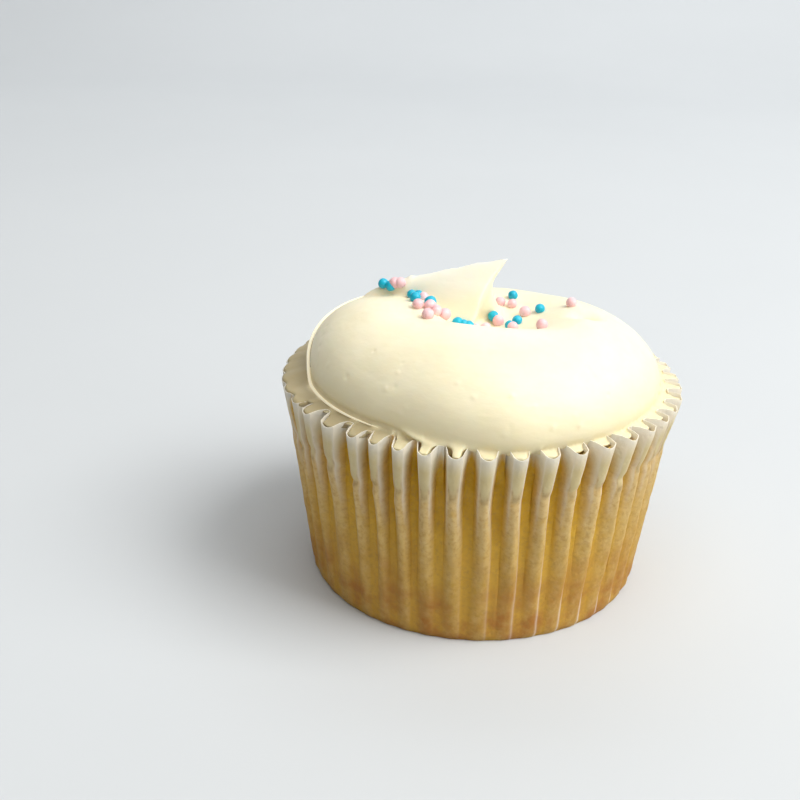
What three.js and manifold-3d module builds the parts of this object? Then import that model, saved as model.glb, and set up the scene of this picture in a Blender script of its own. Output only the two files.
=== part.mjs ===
// A frosted cupcake in a pleated paper case: sponge cake, one thick buttercream swirl with a flicked
// peak, and small round sugar pearls in the hollow of the swirl.
// Millimetres, +Z up. The origin is the middle of the case's flat floor, and -Y is the front.

import * as THREE from "three";
import { mergeVertices } from "three/addons/utils/BufferGeometryUtils.js";
import Module from "manifold-3d";

const wasm = await Module();
wasm.setup();

// Driving sizes of the paper case.
const PLEATS = 44;
const RIM_RADIUS = 35.7; // over the ridges, without flare and oval
const RIM_HEIGHT = 37.9;
const RIM_OVAL = 0.5; // pushed in at front and back, out at the sides
const BASE_RADIUS = 31.2;
const BASE_CORNER = 0.5; // rounding between floor and wall
const PAPER = 0.3;
const PLEAT_DEPTH_RIM = 2.8;
const PLEAT_DEPTH_BASE = 0.35;
const VALLEY_SHARE_RIM = 0.3; // part of a pleat that lies inwards
const VALLEY_SHARE_BASE = 0.58;
const VALLEY_NARROWS_FROM = 27;
const RIM_FLARE = 0.6; // the free rim leans out by this much more, most of it on the right
const FLARE_FROM = 28;
const WALL_HEIGHTS = [BASE_CORNER, 15, 28, 33.5, RIM_HEIGHT];
const VALLEY_RISE = 0.35; // the rim stands this much higher in the valleys

// Driving sizes of the sponge.
const GAP = 0.3; // clearance kept between touching pieces
const SHOULDER_HEIGHT = 29.5; // the sponge fills the pleats up to here
const CAKE_EDGE_RADIUS = 31.4;
const CAKE_EDGE_HEIGHT = 36;
const CAKE_DOME_HEIGHT = 38.5;
const FILLED_HEIGHT = 27; // the pleats are filled right out up to here
const FREE_HEIGHT = 33.5; // above the shoulder, where the sponge has left the pleats

// Driving sizes of the buttercream swirl.
const SWIRL_STEPS = 80;
const SWIRL_FOOT_RADIUS = 32.2;
const SWIRL_FOOT_HEIGHT = 37.3;
const GIRTH_RADIUS = 32.1; // the widest part of the roll
const GIRTH_SHIFT = 0.75; // wider by this much on the right
const GIRTH_HEIGHT = 40.4;
const GIRTH_TILT = 0.9; // lower by this much on the right
const CREST_RADIUS = 17.4; // the top of the roll
const CREST_SHIFT_RIGHT = 0.9;
const CREST_SHIFT_FRONT = 1;
const CREST_HEIGHT = 51.2;
const CREST_TILT = 2.6;
const CREST_WAVE = 0.4;
const HOLLOW_FLOOR = 46.6;
const SEAM_STEP = 1.3; // the roll's first edge stands this far over the layer under it
const SEAM_LIP = 0.35;
const SEAM_LOW_HEIGHT = SWIRL_FOOT_HEIGHT + 0.8;
const SEAM_TOP_HEIGHT = 50;

// Driving sizes of the sugar pearls.
const PEARL_RADIUS = 1.12;
const PEARL_SPREAD = 0.14; // how much their sizes differ
const PEARL_SPACING = 1.5; // from the middle of a group to its second pearl
const PEARL_SUNK = 0.4; // share of the radius below the cream

const TURN = 2 * Math.PI;
const degrees = (a) => (a * Math.PI) / 180;
const mix = (a, b, t) => a + (b - a) * t;
const clamp01 = (t) => Math.min(1, Math.max(0, t));
// Rises from 0 to 1 as x goes from a to b.
const smooth = (a, b, x) => {
  const t = clamp01((x - a) / (b - a));
  return t * t * (3 - 2 * t);
};
const polar = (radius, angle, z) => {
  return new THREE.Vector3(radius * Math.cos(angle), radius * Math.sin(angle), z);
};

// Repeatable random numbers from 0 to 1.
function seededRandom(seed) {
  let state = seed;
  return () => {
    state = (state * 1664525 + 1013904223) % 4294967296;
    return state / 4294967296;
  };
}

// A closed surface through rings of points that run counter-clockwise seen from +Z, from the
// first pole to the last. The surface faces out when the rings go up the outside.
function closedSkin(firstPole, rings, lastPole) {
  const count = rings[0].length;
  const positions = [];
  const faces = [];
  for (const p of [firstPole, ...rings.flat(), lastPole]) positions.push(p.x, p.y, p.z);
  const at = (ring, k) => 1 + ring * count + (k % count);
  const last = 1 + rings.length * count;
  for (let k = 0; k < count; k++) {
    faces.push(0, at(0, k + 1), at(0, k));
    faces.push(last, at(rings.length - 1, k), at(rings.length - 1, k + 1));
    for (let ring = 0; ring < rings.length - 1; ring++) {
      faces.push(at(ring, k), at(ring, k + 1), at(ring + 1, k + 1));
      faces.push(at(ring, k), at(ring + 1, k + 1), at(ring + 1, k));
    }
  }
  const geometry = new THREE.BufferGeometry();
  geometry.setAttribute("position", new THREE.Float32BufferAttribute(positions, 3));
  geometry.setIndex(faces);
  return geometry;
}

function toManifold(geometry) {
  const bare = geometry.clone();
  bare.deleteAttribute("normal");
  bare.deleteAttribute("uv");
  const merged = mergeVertices(bare, 1e-4);
  const vertProperties = new Float32Array(merged.attributes.position.array);
  const triVerts = new Uint32Array(merged.index.array);
  return new wasm.Manifold(new wasm.Mesh({ numProp: 3, vertProperties, triVerts }));
}

function fromManifold(solid) {
  const { vertProperties, triVerts } = solid.getMesh();
  const geometry = new THREE.BufferGeometry();
  geometry.setAttribute("position", new THREE.BufferAttribute(vertProperties, 3));
  geometry.setIndex(new THREE.BufferAttribute(triVerts, 1));
  return geometry;
}

// The pleats: those at the front have their own widths in degrees, from the one on the left that opened
// wide, round to the right. The others share the rest of the circle, uneven by a seeded draw.
const FIRST_FOLD_ANGLE = -139.1;
const FRONT_WIDTHS = [11, 7.6, 6.9, 7.3, 7.9, 8.6, 8.5, 8.4, 8.1, 7.9, 8.5, 8.2, 7.7, 8.3];
const WIDTH_SPREAD = 0.2;

function pleatAngles() {
  const random = seededRandom(11);
  const others = PLEATS - FRONT_WIDTHS.length;
  const drawn = Array.from({ length: others }, () => 1 + WIDTH_SPREAD * (random() - 0.5));
  const sum = (list) => list.reduce((a, b) => a + b);
  const left = (360 - sum(FRONT_WIDTHS)) / sum(drawn);
  let angle = degrees(FIRST_FOLD_ANGLE);
  return [...FRONT_WIDTHS, ...drawn.map((w) => w * left)].map(degrees).map((width) => {
    const start = angle;
    angle += width;
    return { start, width };
  });
}

const FOLDS = pleatAngles();
const SIDE_SHARE = 0.1; // part of a pleat that each steep side takes
const CORNER_OUT = 0.84; // how far out a ridge's corners stand, its middle being 1
const DEPTH_POWER = 1.15; // over 1, so the pleats deepen faster towards the rim

// Radius over the ridges, depth of the pleats and share of the valleys at a height.
const ridgeRadius = (z, angle) => {
  const oval = RIM_OVAL * Math.cos(2 * angle) * (z / RIM_HEIGHT);
  const flare = RIM_FLARE * (1 + 0.5 * Math.cos(angle)) * smooth(FLARE_FROM, RIM_HEIGHT, z);
  return mix(BASE_RADIUS, RIM_RADIUS, z / RIM_HEIGHT) + oval + flare;
};
const pleatDepth = (z) => {
  return mix(PLEAT_DEPTH_BASE, PLEAT_DEPTH_RIM, Math.pow(z / RIM_HEIGHT, DEPTH_POWER));
};
const valleyShare = (z) => {
  const narrowed = clamp01((z - VALLEY_NARROWS_FROM) / (RIM_HEIGHT - VALLEY_NARROWS_FROM));
  return mix(VALLEY_SHARE_BASE, VALLEY_SHARE_RIM, narrowed);
};

// One ring of the pleated wall. Each pleat gives a ridge of three points and a valley of two.
// fill is how far the ring goes out into the ridges, and inset how far it stays inside the paper,
// which also draws the steep sides of a ridge together.
function pleatedRing(z, fill, inset, lift = 0) {
  const ring = [];
  const ridgeEnd = 1 - valleyShare(z);
  for (const { start, width } of FOLDS) {
    const steepness = pleatDepth(z) / PLEAT_DEPTH_RIM;
    const tuck = (steepness * inset) / (width * ridgeRadius(z, start));
    const points = [
      [SIDE_SHARE + tuck, CORNER_OUT],
      [ridgeEnd / 2, 1],
      [ridgeEnd - SIDE_SHARE - tuck, CORNER_OUT],
      [ridgeEnd - tuck, 0],
      [1 + tuck, 0],
    ];
    for (const [share, out] of points) {
      const angle = start + share * width;
      const radius = ridgeRadius(z, angle) - pleatDepth(z) * (1 - out * fill) - inset;
      ring.push(polar(radius, angle, z + lift * (1 - out)));
    }
  }
  return ring;
}

function paperCase() {
  const floorInset = BASE_CORNER * 0.8;
  const rise = (z) => (z === RIM_HEIGHT ? VALLEY_RISE : 0);
  const outside = WALL_HEIGHTS.map((z) => pleatedRing(z, 1, 0, rise(z)));
  const inside = WALL_HEIGHTS.map((z) => {
    const lowest = Math.max(z, BASE_CORNER + PAPER / 2);
    return pleatedRing(lowest, 1, PAPER, rise(z));
  });
  const floorRing = (z, inset) => pleatedRing(0, 1, inset).map((p) => p.setZ(z));
  const rings = [
    floorRing(0, floorInset),
    ...outside,
    ...inside.reverse(),
    floorRing(PAPER, floorInset + PAPER),
  ];
  return closedSkin(new THREE.Vector3(0, 0, 0), rings, new THREE.Vector3(0, 0, PAPER));
}

// The sponge follows the paper from inside, leaves the pleats at its shoulder and closes in a low
// dome. How far it goes out into the pleats drops from right out to almost nothing.
const SHOULDER_FILL = 0.9;
const FREE_FILL = 0.12;
const DOME_RING_SHARE = 0.6;
const cakeTop = (radius) => {
  return mix(CAKE_DOME_HEIGHT, CAKE_EDGE_HEIGHT, Math.pow(radius / CAKE_EDGE_RADIUS, 2));
};

function cake() {
  const inset = PAPER + GAP;
  const floorRing = pleatedRing(0, 1, BASE_CORNER + inset).map((p) => p.setZ(inset));
  const edge = pleatedRing(CAKE_EDGE_HEIGHT, 0, 0).map((p) =>
    polar(CAKE_EDGE_RADIUS, Math.atan2(p.y, p.x), CAKE_EDGE_HEIGHT),
  );
  const domeRadius = CAKE_EDGE_RADIUS * DOME_RING_SHARE;
  const dome = edge.map((p) => polar(domeRadius, Math.atan2(p.y, p.x), cakeTop(domeRadius)));
  const rings = [
    floorRing,
    pleatedRing(BASE_CORNER + inset, 1, inset),
    pleatedRing(FILLED_HEIGHT, 1, inset),
    pleatedRing(SHOULDER_HEIGHT, SHOULDER_FILL, inset),
    pleatedRing(FREE_HEIGHT, FREE_FILL, inset),
    edge,
    dome,
  ];
  return closedSkin(new THREE.Vector3(0, 0, inset), rings, new THREE.Vector3(0, 0, CAKE_DOME_HEIGHT));
}

// The swirl's crest is highest at the front left, where the roll begins, and lowest at the back. The
// roll is roundest on the left and slopes like a cone on the right.
const CREST_HIGH_ANGLE = degrees(-105);
const CREST_WAVE_ANGLE = degrees(30);
const ROUND_ANGLE = degrees(-150);
const crestHeight = (angle) => {
  const tilt = CREST_TILT * Math.cos(angle - CREST_HIGH_ANGLE);
  const wave = CREST_WAVE * Math.cos(2 * (angle - CREST_WAVE_ANGLE));
  return CREST_HEIGHT + tilt + wave;
};
const crestRadius = (angle) => {
  return CREST_RADIUS + CREST_SHIFT_RIGHT * Math.cos(angle) - CREST_SHIFT_FRONT * Math.sin(angle);
};
const girthRadius = (angle) => GIRTH_RADIUS + GIRTH_SHIFT * Math.cos(angle);
const girthHeight = (angle) => GIRTH_HEIGHT - GIRTH_TILT * Math.cos(angle);
const roundness = (angle) => 0.5 + 0.5 * Math.cos(angle - ROUND_ANGLE);

// The seam: the edge where the roll starts. It hangs low over the case at the front left, climbs
// round the left side and dies out at the back. Its angles count from the front round to the left.
const SEAM_CLIMB = [68, 112].map(degrees);
const SEAM_FALL = [125, 230].map(degrees);
const SEAM_START = [6, 30].map(degrees);
const SEAM_END = [100, 150].map(degrees);
function seam(angle) {
  const past = (((degrees(-90) - angle) % TURN) + TURN) % TURN;
  const climb = smooth(...SEAM_CLIMB, past) * (1 - smooth(...SEAM_FALL, past));
  const step = SEAM_STEP * smooth(...SEAM_START, past) * (1 - smooth(...SEAM_END, past));
  return { height: mix(SEAM_LOW_HEIGHT, SEAM_TOP_HEIGHT, climb), step };
}

// Radius of the swirl's outside at an angle and height. Above the girth it is a squashed arch, whose
// two powers are given for the coned side and for the round side. Below, it tucks in to the foot.
const ARCH_RISE = [1.65, 2.1];
const ARCH_REACH = [1.45, 1.75];
const FOOT_TUCK = 0.95;
function swirlRadiusAt(angle, z) {
  const high = crestHeight(angle);
  const wide = girthHeight(angle);
  if (z >= wide) {
    const up = clamp01((z - wide) / (high - wide));
    const rise = mix(...ARCH_RISE, roundness(angle));
    const reach = mix(...ARCH_REACH, roundness(angle));
    const share = Math.pow(1 - Math.pow(up, rise), 1 / reach);
    return mix(crestRadius(angle), girthRadius(angle), share);
  }
  const down = clamp01((wide - z) / (wide - SWIRL_FOOT_HEIGHT));
  return mix(girthRadius(angle), SWIRL_FOOT_RADIUS, 1 - Math.sqrt(1 - down * down * FOOT_TUCK));
}

// The hollow in the top, whose floor is flat near the middle and which meets the crest in a round edge.
const HOLLOW_WALL = [0.1, 1.05];
const hollowHeight = (angle, radius) => {
  const share = clamp01(radius / crestRadius(angle));
  return mix(HOLLOW_FLOOR, crestHeight(angle), smooth(...HOLLOW_WALL, share));
};

// Where the swirl's rings lie, each list as shares of its own stretch of the surface.
const UNDER_SHARES = [0.5, 1]; // of the sponge's edge radius
const BELOW_SHARES = [0.35, 0.7, 1]; // from the foot up to the seam
const OUTSIDE_SHARES = [0, 0.22, 0.42, 0.6, 0.76, 0.88, 0.96]; // from the seam up to the crest
const INSIDE_SHARES = [1, 0.85, 0.65, 0.4, 0.18]; // of the crest radius

function swirl() {
  const angles = Array.from({ length: SWIRL_STEPS }, (_, k) => (TURN * k) / SWIRL_STEPS);
  const foot = (a) => polar(SWIRL_FOOT_RADIUS, a, SWIRL_FOOT_HEIGHT);
  const under = (share) => (a) => {
    const radius = CAKE_EDGE_RADIUS * share;
    return polar(radius, a, cakeTop(radius) + GAP);
  };
  const below = (share) => (a) => {
    const { height, step } = seam(a);
    const z = mix(SWIRL_FOOT_HEIGHT, height - SEAM_LIP, share);
    return polar(swirlRadiusAt(a, z) - step * Math.sqrt(share), a, z);
  };
  const outside = (share) => (a) => {
    const z = mix(seam(a).height, crestHeight(a), share);
    return polar(swirlRadiusAt(a, z), a, z);
  };
  const inside = (share) => (a) => {
    const radius = crestRadius(a) * share;
    return polar(radius, a, share === 1 ? crestHeight(a) : hollowHeight(a, radius));
  };
  const outlines = [
    ...UNDER_SHARES.map(under),
    foot,
    ...BELOW_SHARES.map(below),
    ...OUTSIDE_SHARES.map(outside),
    ...INSIDE_SHARES.map(inside),
  ];
  const rings = outlines.map((outline) => angles.map(outline));
  const pole = (z) => new THREE.Vector3(0, 0, z);
  return closedSkin(pole(CAKE_DOME_HEIGHT + GAP), rings, pole(HOLLOW_FLOOR));
}

// The peak: the roll's end, swept from the left crest to the middle and flicked up to the right.
const PEAK_STEPS = 12;
const PEAK_START = new THREE.Vector3(-22, 4, 50.4);
const PEAK_TIP = new THREE.Vector3(4.8, 2.2, 59.9);
const PEAK_FOOT_END = -0.2; // where the foot ends, so the tip hangs over to the right
const PEAK_FOOT_HEIGHTS = [47.5, HOLLOW_FLOOR - 1];
const PEAK_KEEL = 2; // how deep it reaches into the roll under its foot
const PEAK_FRONT = [2.5, -5.5]; // the foot's near edge, coming forward along the peak
const PEAK_BACK = 13; // the foot's far edge, against the back of the roll
const PEAK_RIDGE = [1, 0.3]; // half the ridge's width, thinning to the tip
const PEAK_RISE = 0.66; // under 1, so the ridge climbs steeply first and then levels out
const PEAK_SKEW = 0.4; // the peak's end faces forward by this much
const PEAK_SECTION = [0, 0.3, 0.55, 0.75, 0.9]; // heights of its points, as shares from foot to ridge
const PEAK_FLANK = 0.6; // under 1, so the flanks are hollow
const PEAK_LEAN = 2.9; // over 1, so only the upper part leans over

function peak() {
  const rings = [];
  for (let i = 0; i <= PEAK_STEPS; i++) {
    const u = i / PEAK_STEPS;
    const top = new THREE.Vector3().lerpVectors(PEAK_START, PEAK_TIP, u);
    top.z = mix(PEAK_START.z, PEAK_TIP.z, Math.pow(u, PEAK_RISE));
    const footX = mix(PEAK_START.x, PEAK_FOOT_END, u);
    const footZ = mix(...PEAK_FOOT_HEIGHTS, smooth(0, 0.6, u));
    const frontY = mix(...PEAK_FRONT, smooth(0.1, 0.75, u));
    const point = (footY, side, t) => {
      const y = mix(footY, top.y + side * mix(...PEAK_RIDGE, u), Math.pow(t, PEAK_FLANK));
      const x = mix(footX, top.x, Math.pow(t, PEAK_LEAN)) + PEAK_SKEW * u * u * (y - top.y);
      return new THREE.Vector3(x, y, mix(footZ, top.z, t));
    };
    const front = PEAK_SECTION.map((t) => point(frontY, -1, t)).reverse();
    const back = PEAK_SECTION.map((t) => point(PEAK_BACK, 1, t));
    const keel = new THREE.Vector3(footX, (frontY + PEAK_BACK) / 2, footZ - PEAK_KEEL);
    rings.push([keel, ...back, top, ...front]);
  }
  const middle = (ring) => {
    return ring.reduce((sum, p) => sum.add(p), new THREE.Vector3()).divideScalar(ring.length);
  };
  return closedSkin(middle(rings[0]), rings, middle(rings[PEAK_STEPS]));
}

// Sugar pearls lie in small groups along the peak's front foot and over the hollow: where each group
// is, seen from above, and how many are in it.
const PEARL_GROUPS = [
  { x: -16.8, y: 3.2, count: 2 },
  { x: -14.4, y: 2.9, count: 2 },
  { x: -11.7, y: 1.3, count: 2 },
  { x: -10.2, y: 1.5, count: 1 },
  { x: -11.8, y: -0.6, count: 1 },
  { x: -9.2, y: 0.2, count: 1 },
  { x: -8.2, y: -1.2, count: 2 },
  { x: -6.6, y: -2.2, count: 1 },
  { x: -2.8, y: -3.2, count: 2 },
  { x: 0.3, y: -3.6, count: 2 },
  { x: 1.9, y: 4.6, count: 1 },
  { x: 3.2, y: 2.4, count: 1 },
  { x: 6.8, y: 1, count: 1 },
  { x: 5.5, y: -0.9, count: 1 },
  { x: 6.2, y: -2.7, count: 1 },
  { x: 8.5, y: 4.6, count: 1 },
  { x: 10.9, y: 5, count: 1 },
  { x: 10.6, y: -6, count: 1 },
  { x: 16.4, y: 4, count: 2 },
  { x: 6, y: 9.6, count: 2 },
  { x: 5.9, y: 13, count: 1 },
  { x: -4, y: 12.5, count: 3 },
  { x: -12, y: 12, count: 2 },
];
const GOLDEN_ANGLE = degrees(137.5);
const PEARL_TURN = degrees(17.5); // so that the second pearl of a group lies behind it on the left

// Each pearl is dropped on the lowest cream below it, as some lie under the peak's tip, and sinks in
// a little.
function pearls(cream) {
  const target = new THREE.Mesh(cream, creamMaterial);
  const down = new THREE.Vector3(0, 0, -1);
  const random = seededRandom(5);
  const made = [];
  for (const { x, y, count } of PEARL_GROUPS) {
    for (let i = 0; i < count; i++) {
      const offset = polar(PEARL_SPACING * Math.sqrt(i), PEARL_TURN + i * GOLDEN_ANGLE, 0);
      const above = new THREE.Vector3(x, y, PEAK_TIP.z + 1).add(offset);
      const hit = new THREE.Raycaster(above, down).intersectObject(target).pop();
      const radius = PEARL_RADIUS * (1 + PEARL_SPREAD * (random() - 0.5));
      const ball = new THREE.IcosahedronGeometry(radius, 0);
      ball.rotateZ(random() * TURN);
      const centre = hit.point.addScaledVector(hit.face.normal, radius * (1 - PEARL_SUNK));
      ball.translate(centre.x, centre.y, centre.z);
      made.push(ball);
    }
  }
  return made;
}

function frosting() {
  let solid = toManifold(swirl()).add(toManifold(peak()));
  for (const pearl of pearls(fromManifold(solid))) solid = solid.add(toManifold(pearl));
  // Fusing can close a tiny hollow between pearls, which is left out with any loose scrap.
  const pieces = solid.decompose();
  pieces.sort((a, b) => b.volume() - a.volume());
  return fromManifold(pieces[0]);
}

const paperMaterial = new THREE.MeshStandardMaterial({ color: 0xe6dcc0, roughness: 0.6, metalness: 0 });
const cakeMaterial = new THREE.MeshStandardMaterial({ color: 0xc9a253, roughness: 0.9, metalness: 0 });
const creamMaterial = new THREE.MeshStandardMaterial({ color: 0xf8f1d6, roughness: 0.45, metalness: 0 });

const cupcake = new THREE.Group();
for (const [name, geometry, material] of [
  ["paper_case", paperCase(), paperMaterial],
  ["cake", cake(), cakeMaterial],
  ["frosting", frosting(), creamMaterial],
]) {
  const mesh = new THREE.Mesh(geometry, material);
  mesh.name = name;
  cupcake.add(mesh);
}

export default cupcake;
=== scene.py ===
# %% [markdown]
# # A frosted cupcake in its pleated paper case
# This lesson dresses a plain solid model of a cupcake until it looks like the real one. The solid
# model gives the sizes and stays for the physics. Each visible piece is made here: the buttercream
# swirl, the sugar pearls on it, the sponge and the paper case round it.
# Everything is in metres with +Z up. The middle of the case's floor is the origin, and the side
# that faces the camera looks along -Y. Sizes are easier to read in millimetres, so they are
# written in those and multiplied by MM at the last moment.

# %% Load the solid model as a frame
import math

import bmesh
import bpy
import numpy as np
from mathutils import Matrix, Vector
from mathutils.bvhtree import BVHTree
from mathutils.noise import noise


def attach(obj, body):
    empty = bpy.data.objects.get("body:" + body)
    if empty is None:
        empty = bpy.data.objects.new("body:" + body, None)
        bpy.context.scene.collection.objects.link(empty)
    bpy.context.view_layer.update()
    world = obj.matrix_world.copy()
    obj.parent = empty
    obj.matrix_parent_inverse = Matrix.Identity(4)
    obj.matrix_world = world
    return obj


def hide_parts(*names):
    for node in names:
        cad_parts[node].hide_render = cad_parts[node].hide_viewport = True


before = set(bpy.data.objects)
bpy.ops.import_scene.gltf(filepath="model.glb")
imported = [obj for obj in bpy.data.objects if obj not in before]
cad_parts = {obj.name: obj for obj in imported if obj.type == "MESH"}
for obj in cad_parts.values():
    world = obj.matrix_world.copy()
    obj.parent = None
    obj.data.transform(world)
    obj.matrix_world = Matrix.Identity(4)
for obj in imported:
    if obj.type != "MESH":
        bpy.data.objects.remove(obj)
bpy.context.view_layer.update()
MM = 0.001

# %% [markdown]
# ## Helpers
# Blender's operators act on whatever is selected, and loading the model leaves its nodes selected.
# So every step starts by selecting one piece alone. A curve that rises smoothly from 0 to 1 does
# most of the shaping below: it fades one form into the next without a visible step.

# %% Selecting and finishing a piece
def select_only(piece):
    if bpy.context.object and bpy.context.object.mode != "OBJECT":
        bpy.ops.object.mode_set(mode="OBJECT")
    bpy.ops.object.select_all(action="DESELECT")
    piece.select_set(True)
    bpy.context.view_layer.objects.active = piece


def new_piece(name):
    piece = bpy.context.object
    piece.name = piece.data.name = name
    select_only(piece)
    return piece


def modify(piece, kind, **settings):
    select_only(piece)
    modifier = piece.modifiers.new(kind.title(), kind)
    for key, value in settings.items():
        setattr(modifier, key, value)
    bpy.ops.object.modifier_apply(modifier=modifier.name)


def face_outwards(piece):
    select_only(piece)
    bpy.ops.object.mode_set(mode="EDIT")
    bpy.ops.mesh.select_all(action="SELECT")
    bpy.ops.mesh.normals_make_consistent(inside=False)
    bpy.ops.object.mode_set(mode="OBJECT")


def select_edges(piece, wanted):
    bpy.ops.mesh.select_mode(type="EDGE")
    bpy.ops.mesh.select_all(action="DESELECT")
    shape = bmesh.from_edit_mesh(piece.data)
    for edge in shape.edges:
        edge.select_set(wanted(edge))
    bmesh.update_edit_mesh(piece.data)


def extrude(*move):
    bpy.ops.mesh.extrude_region_move(TRANSFORM_OT_translate={"value": move})


def points_of(piece):
    points = np.empty(len(piece.data.vertices) * 3)
    piece.data.vertices.foreach_get("co", points)
    return points.reshape(-1, 3)


def place_points(piece, points):
    piece.data.vertices.foreach_set("co", np.ascontiguousarray(points, dtype=float).ravel())
    piece.data.update()


def store(piece, name, values):
    piece.data.attributes.new(name, "FLOAT", "POINT").data.foreach_set("value", values)


def triangles(piece):
    return sum(len(face.vertices) - 2 for face in piece.data.polygons)


# %% Curves for shaping
TURN = 2 * math.pi


def mix(a, b, share):
    return a + (b - a) * share


def smooth(start, end, x):
    t = np.clip((x - start) / (end - start), 0, 1)
    return t * t * (3 - 2 * t)


def bump(x, middle, width):
    return np.exp(-(((x - middle) / width) ** 2))


def seeded_draws(seed):
    state = seed
    while True:
        state = (state * 1664525 + 1013904223) % 4294967296
        yield state / 4294967296


# %% [markdown]
# ## The camera and the light
# The camera comes first, because every later choice is judged through it. It looks down on the
# cupcake from the front, a little over twenty degrees, as one holds a phone over a table. Fitting
# it to the case's round rim and base gave its distance and the length of its lens.
# The light is one large soft window high on the right. Two weaker panels, overhead and at the
# right, and a warm pale room fill the shadows. That makes the cream glow on the right and fall off
# to beige at the lower left. A last panel behind shines on the backdrop and keeps it pale.

# %% Camera
CAMERA_PLACE = (0, -198.59 * MM, 118.40 * MM)
CAMERA_DOWN = 0.41046
CAMERA_TURN = -0.073532
CAMERA_ROLL = 0.015053

bpy.ops.object.camera_add(location=CAMERA_PLACE)
camera = bpy.context.object
camera.data.lens = 51.75
camera.data.sensor_width = 36
camera.data.clip_start = 0.01
ahead = Vector((
    math.sin(CAMERA_TURN) * math.cos(CAMERA_DOWN),
    math.cos(CAMERA_TURN) * math.cos(CAMERA_DOWN),
    -math.sin(CAMERA_DOWN),
))
level = Vector((math.cos(CAMERA_TURN), -math.sin(CAMERA_TURN), 0))
upright = level.cross(ahead)
right = math.cos(CAMERA_ROLL) * level + math.sin(CAMERA_ROLL) * upright
up = -math.sin(CAMERA_ROLL) * level + math.cos(CAMERA_ROLL) * upright
turned = Matrix((right, up, -ahead)).transposed().to_4x4()
camera.matrix_world = Matrix.Translation(CAMERA_PLACE) @ turned
bpy.context.scene.camera = camera
print("camera looks down", round(math.degrees(CAMERA_DOWN), 1), "degrees")

# %% Light
CAKE_MIDDLE = (0, 0, 0.03)
BACKDROP_MIDDLE = (0, 1.6, 0.2)
WARM, NEUTRAL, COOL = (1.0, 0.985, 0.95), (1.0, 0.985, 0.96), (0.95, 0.98, 1.0)
ROOM_COLOUR, ROOM_STRENGTH = (1.0, 0.95, 0.88, 1), 0.26
LIGHTS = [
    ("window", (0.75, -0.20, 1.00), 0.80, 15.5, WARM, CAKE_MIDDLE),
    ("top_fill", (-0.05, -0.40, 1.20), 1.0, 4.6, WARM, CAKE_MIDDLE),
    ("side_fill", (1.10, -0.55, 0.45), 1.2, 4.6, NEUTRAL, CAKE_MIDDLE),
    ("back_fill", (0, 0.80, 1.20), 1.2, 6.5, COOL, BACKDROP_MIDDLE),
]


def soft_light(name, place, size, power, colour, aim):
    bpy.ops.object.light_add(type="AREA", location=place)
    light = bpy.context.object
    light.name = name
    light.data.size = size
    light.data.energy = power
    light.data.color = colour
    beam = Vector(aim) - Vector(place)
    light.rotation_euler = beam.to_track_quat("-Z", "Y").to_euler()


for setting in LIGHTS:
    soft_light(*setting)

room = bpy.data.worlds.new("pale_room")
room.use_nodes = True
room.node_tree.nodes["Background"].inputs["Color"].default_value = ROOM_COLOUR
room.node_tree.nodes["Background"].inputs["Strength"].default_value = ROOM_STRENGTH
bpy.context.scene.world = room
bpy.context.scene.view_settings.view_transform = "Standard"

# %% Floor
bpy.ops.mesh.primitive_plane_add(size=1, location=(0, 0, 0))
floor = new_piece("floor")
bpy.ops.object.mode_set(mode="EDIT")
bpy.ops.mesh.select_all(action="SELECT")
bpy.ops.transform.resize(value=(5, 2.2, 1))
select_edges(floor, lambda edge: all(corner.co.y > 1 for corner in edge.verts))
extrude(0, 0.4, 1.6)
bpy.ops.object.mode_set(mode="OBJECT")
modify(floor, "BEVEL", width=0.5, segments=24)
for face in floor.data.polygons:
    face.use_smooth = True
print("floor faces", len(floor.data.polygons))

# %% [markdown]
# ## Finishes: what they share
# Cream, crumb and baked paper all have a colour that drifts a little from place to place, and a
# skin that is finely uneven. Two small node groups make these, and each finish below gives them
# its own colours and sizes. A group keeps such a recipe in one place, as a baker's base mix does.

# %% Node helpers
def link(tree, source, target):
    tree.links.new(source, target)


def wire(tree, *wires):
    for source, output, target, socket in wires:
        link(tree, source.outputs[output], target.inputs[socket])


def read_place(tree, *nodes):
    """Tells each node which point of the piece is being coloured."""
    place = tree.nodes.new("ShaderNodeTexCoord")
    for node in nodes:
        link(tree, place.outputs["Object"], node.inputs["Vector"])


def set_inputs(node, **inputs):
    for name, value in inputs.items():
        node.inputs[name.replace("_", " ")].default_value = value


def add_node(tree, kind, **inputs):
    node = tree.nodes.new(kind)
    set_inputs(node, **inputs)
    return node


def new_group(name, inputs, outputs):
    tree = bpy.data.node_groups.new(name, "ShaderNodeTree")
    for kind, label, default in inputs:
        socket = tree.interface.new_socket(name=label, in_out="INPUT", socket_type=kind)
        if default is not None:
            socket.default_value = default
    for kind, label in outputs:
        tree.interface.new_socket(name=label, in_out="OUTPUT", socket_type=kind)
    return tree, tree.nodes.new("NodeGroupInput"), tree.nodes.new("NodeGroupOutput")


def use_group(tree, group, **inputs):
    node = tree.nodes.new("ShaderNodeGroup")
    node.node_tree = group
    set_inputs(node, **inputs)
    return node


def new_material(name):
    material = bpy.data.materials.new(name)
    material.use_nodes = True
    return material, material.node_tree, material.node_tree.nodes["Principled BSDF"]


# %% Short ways to write a finish
def fill_socket(tree, socket, value):
    if isinstance(value, (int, float, tuple)):
        socket.default_value = value
    else:
        link(tree, value, socket)


def maths(tree, operation, a, b, clamp=False):
    node = tree.nodes.new("ShaderNodeMath")
    node.operation, node.use_clamp = operation, clamp
    fill_socket(tree, node.inputs[0], a)
    fill_socket(tree, node.inputs[1], b)
    return node.outputs["Value"]


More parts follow.
